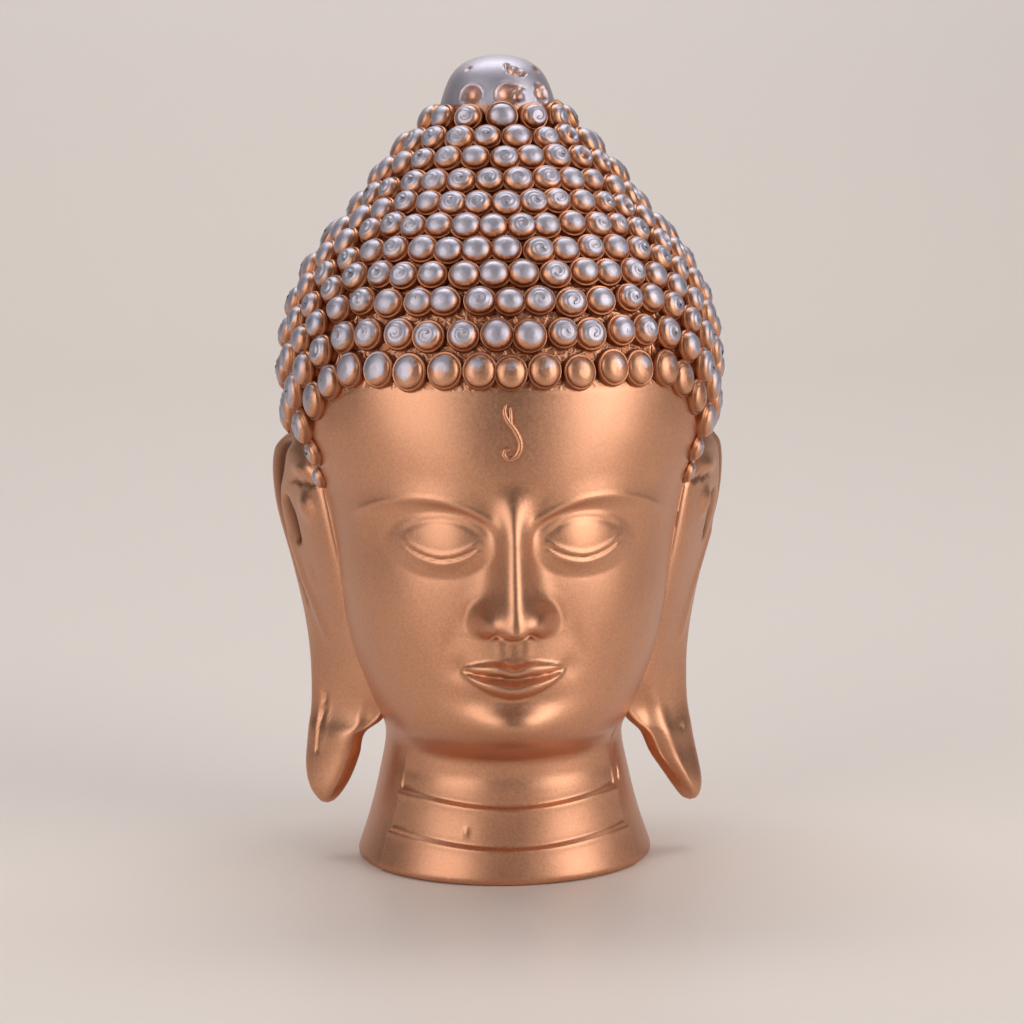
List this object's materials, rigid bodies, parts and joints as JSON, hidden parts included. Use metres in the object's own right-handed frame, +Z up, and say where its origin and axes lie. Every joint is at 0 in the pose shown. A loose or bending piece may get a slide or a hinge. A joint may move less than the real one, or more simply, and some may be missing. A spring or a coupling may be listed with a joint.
{
  "type": "copper-painted buddha head",
  "caption": "Cast head with rows of snail curls, a smooth topknot and long pierced ears, standing on its own flared neck.",
  "frame": {"origin": "centre of the flat underside of the flared neck", "axes": "+Z up through the topknot, face towards -Y, the figure's left ear at +X"},
  "size_m": [0.1026, 0.1083, 0.178],
  "materials": {
    "copper_paint": "satin metallic copper paint, silver dry-brushed on the curls and topknot"
  },
  "bodies": {
    "root": {"buddha_head": "copper_paint"}
  },
  "joints": []
}
